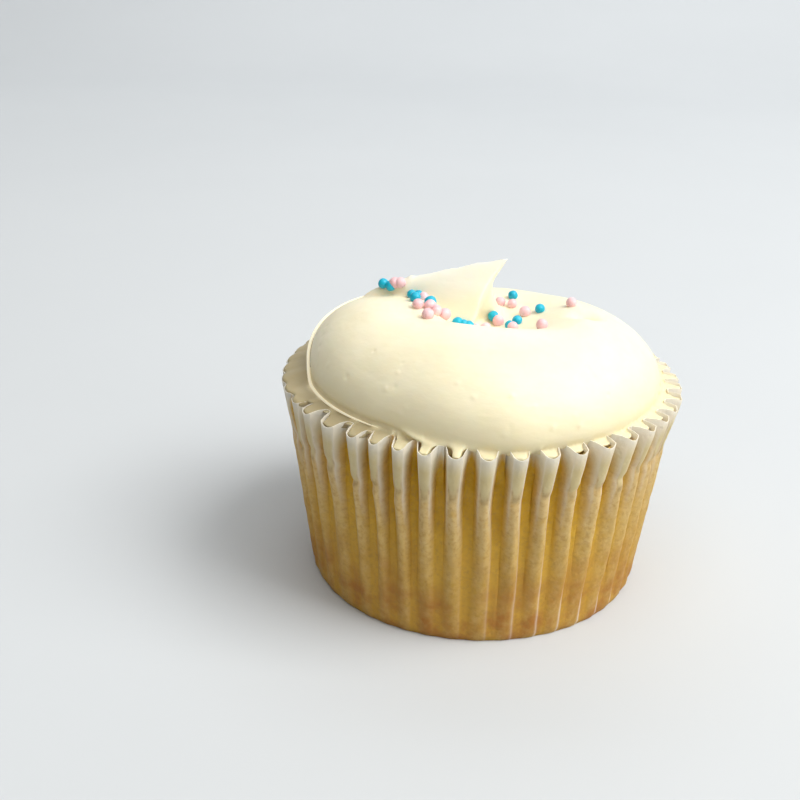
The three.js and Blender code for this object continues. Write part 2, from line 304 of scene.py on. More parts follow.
def tinted(tree, factor, a, b):
    node = tree.nodes.new("ShaderNodeMix")
    node.data_type = "RGBA"
    for name, value in (("Factor", factor), ("A", a), ("B", b)):
        fill_socket(tree, node.inputs[name], value)
    return node.outputs["Result"]


def mask(tree, name):
    node = tree.nodes.new("ShaderNodeAttribute")
    node.attribute_name = name
    return node.outputs["Fac"]


def fade(tree, value, start, end, most=1.0):
    """Rises evenly from 0 at the start to its most at the end."""
    node = add_node(tree, "ShaderNodeMapRange", From_Min=start, From_Max=end, To_Max=most)
    link(tree, value, node.inputs["Value"])
    return node.outputs["Result"]


# %% Group: a colour that drifts
drift, drift_in, drift_out = new_group(
    "colour_drift",
    [("NodeSocketVector", "Vector", None), ("NodeSocketFloat", "Scale", 100.0),
     ("NodeSocketFloat", "From", 0.35), ("NodeSocketFloat", "To", 0.65),
     ("NodeSocketColor", "Light", (1, 1, 1, 1)), ("NodeSocketColor", "Dark", (0, 0, 0, 1))],
    [("NodeSocketColor", "Colour"), ("NodeSocketFloat", "Mask")],
)
cloud = add_node(drift, "ShaderNodeTexNoise", Detail=4.0, Roughness=0.6)
spread = drift.nodes.new("ShaderNodeMapRange")
blend = drift.nodes.new("ShaderNodeMix")
blend.data_type = "RGBA"
wire(
    drift,
    (drift_in, "Vector", cloud, "Vector"), (drift_in, "Scale", cloud, "Scale"),
    (drift_in, "From", spread, "From Min"), (drift_in, "To", spread, "From Max"),
    (cloud, "Fac", spread, "Value"), (spread, "Result", blend, "Factor"),
    (drift_in, "Light", blend, "A"), (drift_in, "Dark", blend, "B"),
    (blend, "Result", drift_out, "Colour"), (spread, "Result", drift_out, "Mask"),
)

# %% Group: a finely uneven skin
skin, skin_in, skin_out = new_group(
    "uneven_skin",
    [("NodeSocketVector", "Vector", None), ("NodeSocketFloat", "Wave Scale", 200.0),
     ("NodeSocketFloat", "Pit Scale", 900.0), ("NodeSocketFloat", "Waves", 0.5),
     ("NodeSocketFloat", "Pits", 0.5), ("NodeSocketFloat", "Depth", 0.0001)],
    [("NodeSocketVector", "Normal")],
)
waves = add_node(skin, "ShaderNodeTexNoise", Detail=3.0)
cells = skin.nodes.new("ShaderNodeTexVoronoi")
pits = add_node(skin, "ShaderNodeMapRange", From_Min=0.0, From_Max=0.35, To_Min=-1.0, To_Max=0.0)
wave_part = skin.nodes.new("ShaderNodeMath")
wave_part.operation = "MULTIPLY"
height = skin.nodes.new("ShaderNodeMath")
height.operation = "MULTIPLY_ADD"
relief = add_node(skin, "ShaderNodeBump", Strength=1.0)
wire(
    skin,
    (skin_in, "Vector", waves, "Vector"), (skin_in, "Wave Scale", waves, "Scale"),
    (skin_in, "Vector", cells, "Vector"), (skin_in, "Pit Scale", cells, "Scale"),
    (waves, "Fac", wave_part, 0), (skin_in, "Waves", wave_part, 1),
    (cells, "Distance", pits, "Value"), (pits, "Result", height, 0),
    (skin_in, "Pits", height, 1), (wave_part, "Value", height, 2),
    (height, "Value", relief, "Height"), (skin_in, "Depth", relief, "Distance"),
    (relief, "Normal", skin_out, "Normal"),
)
print("node groups:", [g.name for g in bpy.data.node_groups])

# %% Floor's finish
paint, tree, shader = new_material("matt_backdrop")
tint = use_group(tree, drift, Scale=3.0, Light=(0.60, 0.63, 0.66, 1), Dark=(0.58, 0.61, 0.64, 1))
read_place(tree, tint)
wire(tree, (tint, "Colour", shader, "Base Color"))
set_inputs(shader, Roughness=0.75, Specular_IOR_Level=0.2)
floor.data.materials.append(paint)

# %% [markdown]
# ## The pleats
# A baking case is one disc of greaseproof paper pressed into even pleats. Each pleat is a ridge
# with a round back and a narrow valley, deep at the rim and almost flat at the floor. On a baked
# cupcake they are no longer even: some opened, one on the front left a lot, and lower down they
# were pushed into broad soft ribs. The rule for them comes first, because the cream fills their
# mouths and the sponge fills their backs.

# %% The rule of the pleats, in millimetres
PLEATS = 44
RIM_RADIUS = 35.7
RIM_HEIGHT = 37.9
BASE_RADIUS = 31.2
PLEAT_DEPTH_RIM = 2.8
PLEAT_DEPTH_BASE = 0.12
SIDE_SHARE = 0.14
CORNER_OUT = 0.84
RIB_SHARE = 0.7
FOLDED_OVER = 0.17
FOLDED_FROM, FOLDED_TO = (225, 255), (318, 345)
PRESSED_FROM, PRESSED_TO, PRESSED_FLAT = (58, 70), (125, 150), 0.85
OVAL, FLARE = 0.5, 0.6
RIBBED_BELOW, BOXED_ABOVE = 19, 31
FIRST_PLEAT = math.radians(-139.1)
FRONT_WIDTHS = [11, 7.6, 6.9, 7.3, 7.9, 8.6, 8.5, 8.4, 8.1, 7.9, 8.5, 8.2, 7.7, 8.3]
WIDTH_SPREAD = 0.2

draws = seeded_draws(11)
drawn = [1 + WIDTH_SPREAD * (next(draws) - 0.5) for _ in range(PLEATS - len(FRONT_WIDTHS))]
others = np.array(drawn) * (360 - sum(FRONT_WIDTHS)) / sum(drawn)
widths = np.radians(np.concatenate([FRONT_WIDTHS, others]))
starts = FIRST_PLEAT + np.concatenate([[0], np.cumsum(widths)[:-1]])


def degrees_past(angle):
    """How far round to the left from the front, in degrees from 0 to 360."""
    return np.degrees((-math.pi / 2 - angle) % TURN)


def folded(past):
    """On the right the ridges lie over to one side, with a crisp edge."""
    return smooth(*FOLDED_FROM, past) * (1 - smooth(*FOLDED_TO, past))


def ridge_radius(z, angle):
    oval = OVAL * np.cos(2 * angle) * z / RIM_HEIGHT
    flare = FLARE * (1 + 0.5 * np.cos(angle)) * smooth(28, RIM_HEIGHT, z)
    return mix(BASE_RADIUS, RIM_RADIUS, z / RIM_HEIGHT) + oval + flare


def pleat_depth(z, angle):
    """At the left the pleats were pressed nearly flat from above the shoulder."""
    past = degrees_past(angle)
    pressed = smooth(*PRESSED_FROM, past) * (1 - smooth(*PRESSED_TO, past)) * smooth(22, 36, z)
    depth = mix(PLEAT_DEPTH_BASE, PLEAT_DEPTH_RIM, (z / RIM_HEIGHT) ** 1.15)
    return depth * (1 - PRESSED_FLAT * pressed)


def ridge_share(z):
    """How much of a pleat's width its ridge takes."""
    return mix(0.55, 0.76, np.clip((z - 20) / (RIM_HEIGHT - 20), 0, 1))


def pleat_points(z, ridge_steps, valley_steps):
    """Shares along one pleat and how far out each point stands. Lower down the folds go soft."""
    ridge_end = ridge_share(z)
    up = [(0, 0), (SIDE_SHARE / 2, CORNER_OUT / 2)]
    back = [(mix(SIDE_SHARE, ridge_end - SIDE_SHARE, t),
             CORNER_OUT + (1 - CORNER_OUT) * math.sin(math.pi * t))
            for t in np.linspace(0, 1, ridge_steps)]
    off = [(ridge_end - SIDE_SHARE / 2, CORNER_OUT / 2), (ridge_end, 0)]
    valley = [(mix(ridge_end, 1, t), -0.06 * math.sin(math.pi * t))
              for t in np.linspace(0, 1, valley_steps + 2)[1:-1]]
    boxed = np.array(up + back + off + valley)
    across = np.linspace(0, 1, ridge_steps + 4)
    rib = np.stack([across * RIB_SHARE, np.sin(math.pi * across ** 1.25) ** 0.8], 1)
    flat = [(mix(RIB_SHARE, 1, t), -0.12 * math.sin(math.pi * t))
            for t in np.linspace(0, 1, valley_steps + 2)[1:-1]]
    ribbed = np.concatenate([rib, np.array(flat)])
    return mix(boxed, ribbed, 0.9 * smooth(BOXED_ABOVE, RIBBED_BELOW, z))


def wander(z, seed, reach):
    """A slow sideways or in-and-out drift of each pleat, its own at every height."""
    return np.array([noise(Vector((i * 3.7, z / 14.0, seed))) for i in range(PLEATS)]) * reach


def case_outline(z, ridge_steps, valley_steps, fill=0):
    """The paper's outline at one height, a row of points for each pleat. Fill sinks the ridges."""
    points = pleat_points(z, ridge_steps, valley_steps)
    on_ridge = np.clip(points[None, :, 1] / CORNER_OUT, 0, 1)
    lean = wander(z, 2.5, 0.10 * smooth(0, 12, z))[:, None]
    share = points[None, :, 0] + lean * (0.4 + 0.6 * on_ridge)
    angle = starts[:, None] + widths[:, None] * share
    over = FOLDED_OVER * folded(degrees_past(angle)) * smooth(3, 14, z)
    angle = angle + over * widths[:, None] * on_ridge
    deeper = 1 + wander(z, 7.5, 0.30)[:, None]
    out = points[None, :, 1] * (1 - fill)
    radius = ridge_radius(z, angle) - pleat_depth(z, angle) * (1 - out) * deeper
    return points, angle, radius


# %% [markdown]
# ## The buttercream swirl
# A baker squeezes one thick round of cream on the cake and flicks the nozzle away over the middle.
# That leaves a fat roll with a hollow in it, a seam where the roll began, and a peak that leans.
# It could be swept along a spiral curve, but on this one the turns have run together, so only the
# roll's outline shows. So a ball is pressed into the roll's form: each of its points goes to a
# place on the profile at that angle. The profile is a formula, since the roll is full at the left,
# slopes more on the right and bulges a little at the front. Pairs of numbers such as SEAM_CLIMB
# are the degrees between which something begins or ends, counted to the left from the front.

# %% The roll's profile, in millimetres
GAP = 0.3
CAKE_EDGE_RADIUS = 31.4
CAKE_EDGE_HEIGHT = 36
CAKE_DOME_HEIGHT = 38.5
FOOT_RADIUS = 32.2
FOOT_HEIGHT = 37.3
HOLLOW_FLOOR = 46.6
SEAM_STEP = 1.3
SEAM_GROOVE = 0.4
SEAM_TOP_HEIGHT = 50
FILLED_SIDE = 190
SEAM_CLIMB, SEAM_FALL = (68, 112), (125, 230)
SEAM_START, SEAM_END = (4, 26), (100, 150)
SKIRT_TOP = 40
MOUTH_HEIGHT = 37.7
OVERFLOW_HEIGHT = 38.3
OVERFLOW_RADIUS = 33.9
SLIT = 0.12
BARE_FROM, BARE_TO = (285, 298), (328, 341)
CREST_HEIGHT, CREST_RADIUS = 51.2, 17.4
CREST_TILT, CREST_HIGH_AT = 2.6, math.radians(-105)
CREST_WAVE, CREST_WAVE_AT = 0.4, math.radians(30)
CREST_DIP, CREST_DIP_AT, CREST_DIP_WIDTH = 1.9, 40, 32
GIRTH_RADIUS, GIRTH_HEIGHT = 32.1, 40.4
FRONT_BULGE, BULGE_AT = 2.2, -12
BULGE_WIDTH_LEFT, BULGE_WIDTH_RIGHT = 22, 38
HOLLOW_WALL, FILLED_WALL = 1.05, 0.7
FULL_RISE, SLOPED_RISE = 2.1, 1.65
FULL_REACH, SLOPED_REACH = 1.75, 1.45


def degrees_left(angle):
    """How far round to the left from the front, negative to the right of it."""
    return (degrees_past(angle) + 180) % 360 - 180


def crest_height(angle):
    tilt = CREST_TILT * np.cos(angle - CREST_HIGH_AT)
    wave = CREST_WAVE * np.cos(2 * (angle - CREST_WAVE_AT))
    dip = CREST_DIP * bump(degrees_left(angle), CREST_DIP_AT, CREST_DIP_WIDTH)
    return CREST_HEIGHT + tilt + wave - dip


def crest_radius(angle):
    return CREST_RADIUS + 0.9 * np.cos(angle) - np.sin(angle)


def girth_radius(angle):
    left = degrees_left(angle)
    width = np.where(left > BULGE_AT, BULGE_WIDTH_LEFT, BULGE_WIDTH_RIGHT)
    return GIRTH_RADIUS + 0.75 * np.cos(angle) + FRONT_BULGE * bump(left, BULGE_AT, width)


def girth_height(angle):
    return GIRTH_HEIGHT - 0.9 * np.cos(angle)


def roundness(angle):
    """1 at the left, where the roll is full, and 0 at the right, where it slopes."""
    return 0.5 + 0.5 * np.cos(angle + math.radians(150))


def cake_top(radius):
    return mix(CAKE_DOME_HEIGHT, CAKE_EDGE_HEIGHT, (radius / CAKE_EDGE_RADIUS) ** 2)


def seam(angle):
    past = degrees_past(angle)
    climb = smooth(*SEAM_CLIMB, past) * (1 - smooth(*SEAM_FALL, past))
    low = FOOT_HEIGHT + 0.8 + 0.7 * smooth(12, 30, past)
    step = SEAM_STEP * smooth(*SEAM_START, past) * (1 - smooth(*SEAM_END, past))
    return mix(low, SEAM_TOP_HEIGHT, climb), step


def outside_radius(angle, z):
    high, wide = crest_height(angle), girth_height(angle)
    above = np.clip((z - wide) / (high - wide), 0, 1)
    rise = mix(SLOPED_RISE, FULL_RISE, roundness(angle))
    reach = mix(SLOPED_REACH, FULL_REACH, roundness(angle))
    arch = mix(crest_radius(angle), girth_radius(angle), (1 - above ** rise) ** (1 / reach))
    below = np.clip((wide - z) / (wide - FOOT_HEIGHT), 0, 1)
    tuck = mix(girth_radius(angle), FOOT_RADIUS, 1 - np.sqrt(1 - 0.95 * below ** 2))
    return np.where(z >= wide, arch, tuck)


def hollow_height(angle, radius):
    share = np.clip(radius / crest_radius(angle), 0, 1)
    filled = 0.5 + 0.5 * np.cos(angle - math.radians(FILLED_SIDE))
    wall = smooth(0.1, mix(HOLLOW_WALL, FILLED_WALL, filled ** 3), share)
    return mix(HOLLOW_FLOOR, crest_height(angle), wall)


rim_points, rim_angle, rim_radius = case_outline(RIM_HEIGHT, 7, 5)
rim_out = np.tile(rim_points[:, 1], (PLEATS, 1))


def skirt_radius(angle, z, top):
    """Cream pressed out over the case, which fills the pleats' mouths and covers the valleys."""
    paper = np.interp(angle, rim_angle.ravel(), rim_radius.ravel(), period=TURN)
    out = np.clip(np.interp(angle, rim_angle.ravel(), rim_out.ravel(), period=TURN), 0, 1)
    past = degrees_past(angle)
    bare = smooth(*BARE_FROM, past) * (1 - smooth(*BARE_TO, past))
    at_left = smooth(50, 70, past) * (1 - smooth(130, 150, past))
    slit = 0.15 + (SLIT + 0.9 * bare) * out * (1 - at_left)
    edge = mix(OVERFLOW_HEIGHT, MOUTH_HEIGHT, out * (1 - at_left))
    over = np.maximum(paper - slit, OVERFLOW_RADIUS + 0.8 * at_left)
    reach = mix(paper - slit, over, smooth(38.05, 38.3, z))
    share = np.clip((top - z) / (top - edge), 0, 1)
    return np.where(z < top, mix(FOOT_RADIUS - 1, reach, share), 0)


# %% [markdown]
# The ball's points run from the middle of the hollow, over the crest, down the outside to the seam,
# in under the roll's edge to the foot, and back to the middle underneath. Three shares give where
# the first three of those stretches end, counted from the ball's north pole to its south pole.

# %% Press a ball into the roll
TO_CREST, TO_SEAM, TO_FOOT = 0.25, 0.72, 0.84
UNDER_RISE = 8
UNPARTED_FROM, UNPARTED_TO = (6, 16), (130, 160)

bpy.ops.mesh.primitive_uv_sphere_add(segments=220, ring_count=50, radius=1)
cream = new_piece("buttercream")
bpy.ops.object.mode_set(mode="EDIT")
bpy.ops.mesh.select_all(action="SELECT")
bpy.ops.mesh.subdivide(number_cuts=3)
bpy.ops.object.mode_set(mode="OBJECT")
ball = points_of(cream)
ball /= np.linalg.norm(ball, axis=1)[:, None]
angle = np.arctan2(ball[:, 1], ball[:, 0])
down = np.arccos(np.clip(ball[:, 2], -1, 1)) / math.pi
seam_height, seam_step = seam(angle)

inner = np.clip(down / TO_CREST, 0, 1)
inner_radius = crest_radius(angle) * inner
inner_height = hollow_height(angle, inner_radius)
outer = np.clip((down - TO_CREST) / (TO_SEAM - TO_CREST), 0, 1)
outer_height = mix(crest_height(angle), seam_height, outer ** 1.9)
lower = np.clip((down - TO_SEAM) / (TO_FOOT - TO_SEAM), 0, 1)
lower_height = mix(seam_height - SEAM_GROOVE, FOOT_HEIGHT, lower)
lower_radius = outside_radius(angle, lower_height) - seam_step * np.sqrt(1 - lower * 0.98)
past = degrees_past(angle)
lower_top = np.minimum(SKIRT_TOP, seam_height - SEAM_GROOVE + 0.05)
lower_radius = np.maximum(lower_radius, skirt_radius(angle, lower_height, lower_top))
outer_radius = outside_radius(angle, outer_height)
unparted = 1 - smooth(*UNPARTED_FROM, past) * (1 - smooth(*UNPARTED_TO, past))
outer_skirt = skirt_radius(angle, outer_height, np.full(len(angle), float(SKIRT_TOP)))
outer_radius = np.maximum(outer_radius, mix(outer_radius, outer_skirt, unparted))
under = np.clip((down - TO_FOOT) / (1 - TO_FOOT), 0, 1)
under_radius = FOOT_RADIUS * (1 - under)
rising = FOOT_HEIGHT + UNDER_RISE * (1 - under_radius / FOOT_RADIUS)
under_height = np.minimum(cake_top(under_radius) + GAP, rising)

stretches = [down <= TO_CREST, down <= TO_SEAM, down <= TO_FOOT]
radius = np.select(stretches, [inner_radius, outer_radius, lower_radius], under_radius)
height_z = np.select(stretches, [inner_height, outer_height, lower_height], under_height)
roll = np.stack([radius * np.cos(angle), radius * np.sin(angle), height_z], 1)
place_points(cream, roll * MM)
print("roll", triangles(cream), "triangles")

# %% [markdown]
# ## The peak
# Lifting the nozzle draws the cream up into a thin fin that climbs from the left crest to the
# middle and leans over to the right. It is pressed from a ball too: going along the ball goes along
# the fin, and going round the ball goes from its keel up the back, over the ridge and down the
# front. A fine remesh then melts fin and roll into one skin, as the soft cream does, and a
# smoothing round the fin's right end leaves a soft fillet there.

# %% Press a ball into the peak
PEAK_START = np.array([-22, 4, 50.4])
PEAK_TIP = np.array([4.8, 2.2, 59.9])
PEAK_FOOT_END = 0.4
PEAK_BACK = 13
PEAK_FRONT = (2.5, -5.5)
PEAK_CAP = 0.06
KEEL = 0.08
NICK, NICK_AT = 0.35, 0.33

bpy.ops.mesh.primitive_uv_sphere_add(segments=120, ring_count=120, radius=1)
peak = new_piece("peak")
ball = points_of(peak)
around = (np.arctan2(ball[:, 1], ball[:, 0]) / TURN) % 1
along = np.arccos(np.clip(ball[:, 2], -1, 1)) / math.pi


def peak_point(u, around):
    top_x = mix(PEAK_START[0], PEAK_TIP[0], u)
    top_y = mix(PEAK_START[1], PEAK_TIP[1], u)
    top_z = mix(PEAK_START[2], PEAK_TIP[2], u ** 0.66)
    top_z = top_z + NICK * bump(u, NICK_AT, 0.02) + 0.24 * np.sin(26 * u) * u * (1 - u)
    foot_x = mix(PEAK_START[0], PEAK_FOOT_END, u)
    foot_z = mix(47.5, HOLLOW_FLOOR - 1, smooth(0, 0.6, u))
    front_y = mix(*PEAK_FRONT, smooth(0.1, 0.75, u))
    half_ridge = mix(1, 0.3, u)
    back = around < 0.5
    rise = np.where(back, around * 2, (1 - around) * 2)
    keel = np.clip(1 - rise / KEEL, 0, 1)
    rise = np.clip((rise - KEEL) / (1 - KEEL), 0, 1)
    foot_y = np.where(back, PEAK_BACK, front_y)
    ridge_y = top_y + np.where(back, 1, -1) * half_ridge * (1 - rise ** 12)
    y = mix(foot_y, ridge_y, rise ** 0.6)
    x = mix(foot_x, top_x, rise ** 2.9) + 0.4 * u * u * (y - top_y)
    z = mix(foot_z, top_z, rise)
    y = mix(y, (front_y + PEAK_BACK) / 2, keel)
    return np.stack([x, y, z - 2 * keel], 1)


u = np.clip((along - PEAK_CAP) / (1 - 2 * PEAK_CAP), 0, 1)
outline = peak_point(u, around)
capped = np.clip(np.maximum(PEAK_CAP - along, along - 1 + PEAK_CAP) / PEAK_CAP, 0, 1)[:, None]
middle = (peak_point(u, u * 0 + 0.3) + peak_point(u, u * 0 + 0.7)) / 2
place_points(peak, mix(outline, middle, capped) * MM)
print("peak", triangles(peak), "triangles")

# %% [markdown]
# Two thin beads belong to the seam: the bright lip that runs down the left where the roll's edge
# was dragged up, and the short flick at the front where the nozzle first touched down. Each is a
# ball again, drawn out along a line. The flick melts into the cream. The lip is finer than the
# remesh, so it is laid on afterwards.

# %% Press two balls into beads
def bead(name, line, half_width, half_height):
    bpy.ops.mesh.primitive_uv_sphere_add(segments=12, ring_count=160, radius=1)
    piece = new_piece(name)
    ball = points_of(piece)
    share = np.arccos(np.clip(ball[:, 2], -1, 1)) / math.pi
    around = np.arctan2(ball[:, 1], ball[:, 0])
    angle, radius, z = line(share)
    swell = np.sin(math.pi * share) ** 0.5
    radius = radius + half_width * swell * np.cos(around)
    z = z + half_height * swell * np.sin(around)
    place_points(piece, np.stack([radius * np.cos(angle), radius * np.sin(angle), z], 1) * MM)
    return piece


LIP_FROM, LIP_TO = 126, 30
FLICK_FROM, FLICK_TO = 24, 9.5


def lip_line(share):
    angle = -math.pi / 2 - np.radians(mix(LIP_FROM, LIP_TO, share))
    z = seam(angle)[0]
    return angle, outside_radius(angle, z) + 0.22, z - 0.1


def flick_line(share):
    angle = -math.pi / 2 - np.radians(mix(FLICK_FROM, FLICK_TO, share))
    z = mix(39.3, 38.0, share ** 1.3)
    return angle, outside_radius(angle, z) + mix(-0.1, 0.9, share), z


flick = bead("flick", flick_line, 0.6, 0.42)
lip = bead("lip", lip_line, 0.3, 0.3)
print("beads", triangles(flick), triangles(lip), "triangles")

# %% Melt the peak and the flick into the roll
CREAM_VOXEL = 0.33
HEEL, HEEL_REACH, HEEL_PASSES = (3, 5, 49.2), (4.5, 7.5), 150
KEPT_UNDERNEATH = 0.78

for piece in (cream, peak, flick):
    face_outwards(piece)
select_only(cream)
for piece in (peak, flick):
    piece.select_set(True)
bpy.ops.object.join()
modify(cream, "REMESH", mode="VOXEL", voxel_size=CREAM_VOXEL * MM, use_smooth_shade=True)
modify(cream, "SMOOTH", factor=0.5, iterations=2)
to_heel = np.linalg.norm(points_of(cream) / MM - np.array(HEEL), axis=1)
soft_share = 1 - smooth(*HEEL_REACH, to_heel)
heel = cream.vertex_groups.new(name="heel")
for i in np.flatnonzero(soft_share):
    heel.add([int(i)], float(soft_share[i]), "REPLACE")
modify(cream, "SMOOTH", factor=0.5, iterations=HEEL_PASSES, vertex_group="heel")
hidden = cream.vertex_groups.new(name="underside")
low_points = [v.index for v in cream.data.vertices if v.normal.z < -0.8 and v.co.z < 39.5 * MM]
hidden.add(low_points, 1, "REPLACE")
modify(cream, "DECIMATE", ratio=KEPT_UNDERNEATH, vertex_group="underside")
print("cream", triangles(cream), "triangles")

# %% [markdown]
# Real cream is never as true as a formula. It is a little lumpy, with faint ripples that run round
# the roll, a groove above the seam, a few pin holes and crumbs, and a dent at the right where the
# roll was pulled in. These are real moves of the skin along its normal, so that they also show in
# the outline and from the side.

# %% Make the cream uneven
GROOVE = 0.5
LUMPS = 0.30
RIPPLES = 0.03
SPECKS = 60
DENT = 2.3
DENT_WIDTH = 2.2
DENT_PLACE = (18.6, -1.0, 50.8)

points = points_of(cream) / MM
normals = np.empty(len(cream.data.vertices) * 3)
cream.data.vertex_normals.foreach_get("vector", normals)
normals = normals.reshape(-1, 3)
angle = np.arctan2(points[:, 1], points[:, 0])
radius = np.hypot(points[:, 0], points[:, 1])

lumps = np.array([noise(Vector(p) / 9.0) for p in points])
ripple_at = np.stack([angle * 5 + points[:, 2] * 0.1, points[:, 2] * 0.5, radius * 0.5], 1)
ripples = np.array([noise(Vector(p)) for p in ripple_at])
ripples += 0.5 * np.array([noise(Vector(p) * 2.3) for p in ripple_at])
moved = LUMPS * lumps + RIPPLES * ripples * smooth(14, 22, radius)
past = degrees_past(angle)
above_seam = points[:, 2] - seam(angle)[0]
grooved = smooth(16, 30, past) * (1 - smooth(110, 130, past))
moved -= GROOVE * bump(above_seam, 0.55, 0.4) * grooved

draws = seeded_draws(3)
for _ in range(SPECKS):
    turn = math.radians(mix(-200, 20, next(draws)))
    speck_height = mix(38.5, 50, next(draws))
    reach = float(outside_radius(turn, speck_height))
    speck = np.array([reach * math.cos(turn), reach * math.sin(turn), speck_height])
    width, rise = mix(0.25, 0.55, next(draws)), mix(-0.16, 0.16, next(draws))
    moved += rise * np.exp(-((np.linalg.norm(points - speck, axis=1) / width) ** 2))

to_dent = np.linalg.norm(points - np.array(DENT_PLACE), axis=1)
moved -= DENT * np.exp(-((to_dent / DENT_WIDTH) ** 2))
underneath = normals[:, 2] < -0.8
moved[underneath & (points[:, 2] < 39.5)] = 0
place_points(cream, (points + normals * moved[:, None]) * MM)
# Painted shade: the ledge below the seam on the left, under the roll's overhang, is marked to be
# coloured darker.
ledge_shade = smooth(0.1, 0.55, -above_seam) * smooth(14, 34, past) * (1 - smooth(140, 165, past))
ledge_shade *= smooth(29.5, 30.5, radius)
store(cream, "ledge_shade", ledge_shade)
# The lip is marked for its painted highlight, a small glow.
store(lip, "lip_highlight", np.ones(len(lip.data.vertices)))
select_only(lip)
bpy.ops.object.shade_smooth()
select_only(cream)
lip.select_set(True)
bpy.ops.object.join()
print("cream moved by", round(moved.min(), 2), "to", round(moved.max(), 2), "mm")

# %% [markdown]
# Buttercream is fat and sugar beaten full of air. Light goes a little way into it, which softens
# and warms its shadows, and its skin has a low satin gloss with pin holes and faint drag marks.
# The marks are a noise that is stretched round the roll by a Mapping node. The colour changes with
# height: darker and yellower towards the bottom, and almost white high on the peak, a painted
# highlight. On the ledge at the left, under the roll's overhang, a dull beige is a painted shade.
# The lip gets a little glow, a painted highlight that makes it shine as a bright line.

# %% Buttercream's finish
# Painted light in the cream's colours: a highlight high on the peak, shade on the left ledge under
# the roll and a glow on the lip.
LOW_DOWN_DARKER, PEAK_HIGHLIGHT_COLOUR, LEDGE_SHADE_COLOUR = (0.78, 0.69, 0.43, 1), (0.94, 0.925, 0.82, 1), (0.43, 0.36, 0.21, 1)
NO_GLOW, LIP_HIGHLIGHT_GLOW = (0, 0, 0, 1), (0.30, 0.28, 0.24, 1)

butter, tree, shader = new_material("buttercream")
where = tree.nodes.new("ShaderNodeSeparateXYZ")
stretch = tree.nodes.new("ShaderNodeMapping")
stretch.inputs["Scale"].default_value = (0.6, 0.6, 1.3)
tint = use_group(tree, drift, Scale=120.0, From=0.3, To=0.75,
                 Light=(0.90, 0.845, 0.64, 1), Dark=(0.87, 0.80, 0.57, 1))
drag_marks = use_group(tree, skin, Wave_Scale=520.0, Pit_Scale=420.0, Waves=1.0, Pits=0.25,
                       Depth=0.00008)
read_place(tree, tint, where, stretch)
wire(tree, (stretch, "Vector", drag_marks, "Vector"), (drag_marks, "Normal", shader, "Normal"))
# Darker and yellower towards the bottom; a painted highlight makes it almost white high on the
# peak.
near_cake = fade(tree, where.outputs["Z"], 0.0460, 0.0385, 0.8)
peak_highlight_share = fade(tree, where.outputs["Z"], 0.0515, 0.0550, 0.8)
colour = tinted(tree, near_cake, tint.outputs["Colour"], LOW_DOWN_DARKER)
colour = tinted(tree, peak_highlight_share, colour, PEAK_HIGHLIGHT_COLOUR)
# Painted shade on the left ledge under the roll.
colour = tinted(tree, mask(tree, "ledge_shade"), colour, LEDGE_SHADE_COLOUR)
# Painted highlight: a small glow makes the lip shine as a bright line.
glow = tinted(tree, mask(tree, "lip_highlight"), NO_GLOW, LIP_HIGHLIGHT_GLOW)
link(tree, colour, shader.inputs["Base Color"])
link(tree, glow, shader.inputs["Emission Color"])
set_inputs(shader, Emission_Strength=1.0, Roughness=0.5, Specular_IOR_Level=0.35,
           Subsurface_Weight=0.35, Subsurface_Radius=(1.0, 0.75, 0.45), Subsurface_Scale=0.0025)
cream.data.materials.clear()
cream.data.materials.append(butter)
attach(cream, "root"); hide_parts("frosting")

# %% [markdown]
# ## The sugar pearls
# Nonpareils are tiny balls of sugar, tumbled in colour. They were dropped on the soft cream, so
# they lie along the foot of the peak and in the hollow, and sink in a little. One pearl is modelled
# and copied for each place. Each copy falls straight down on to the lowest cream that faces up,
# because some lie under the leaning tip. Where a place names two colours, the second pearl lies
# beside the first, behind it on the left.

# %% Where the pearls lie, in millimetres, and their colours
PEARL_RADIUS = 1.02
PEARL_SPREAD = 0.22
PEARL_SPACING = 1.4
PEARL_SUNK = 0.4
GOLDEN_ANGLE = math.radians(137.5)
PEARL_TURN = math.radians(17.5)
PEARL_PLACES = [
    (-18.1, 3.5, "b"), (-16.7, 2.9, "b"), (-15.9, 3, "p"), (-14.9, 2.8, "p"), (-12.8, 1.1, "b"),
    (-11.6, 0.8, "b"), (-12, -1.8, "b"), (-10.5, 0.7, "p"), (-11.3, -5.3, "p"), (-9.5, -2.6, "b"),
    (-9.4, -4.9, "p"), (-9.3, -10, "p"), (-8.4, -5.7, "p"), (-6.9, -4.5, "p"), (-4.2, -2.6, "b"),
    (-3.1, -2.8, "b"), (-2.2, -2.9, "b"), (-1.1, -2.2, "p"), (0.9, -1.2, "p"), (2.0, 3.9, "b"),
    (3.2, 2.4, "p"), (3.4, 9.9, "p"), (5.8, 9.4, "p"), (5.9, 13.1, "b"), (8.2, 5.4, "p"),
    (10.9, 5.4, "b"), (6.7, 1.9, "b"), (5.3, -0.2, "b"), (5.9, -1.7, "p"), (10.6, -9.8, "p"),
    (16.5, 4.7, "p"), (-4, 12.5, "pb"),
]

# %% Model one pearl and drop the copies
bpy.ops.mesh.primitive_ico_sphere_add(subdivisions=3, radius=1)
first_pearl = new_piece("first_pearl")
ball = points_of(first_pearl)
uneven = np.array([1 + 0.06 * noise(Vector(p) * 1.3) for p in ball])
place_points(first_pearl, ball * uneven[:, None])
bpy.ops.object.shade_smooth()

skin_of_cream = BVHTree.FromPolygons(
    [v.co.copy() for v in cream.data.vertices], [tuple(f.vertices) for f in cream.data.polygons])


def lowest_cream(x, y):
    start, found = Vector((x, y, 70)) * MM, None
    while True:
        place, normal, _, _ = skin_of_cream.ray_cast(start, Vector((0, 0, -1)))
        if place is None:
            return found
        if normal.z > 0:
            found = (place / MM, normal)
        start = place - Vector((0, 0, 1e-5))


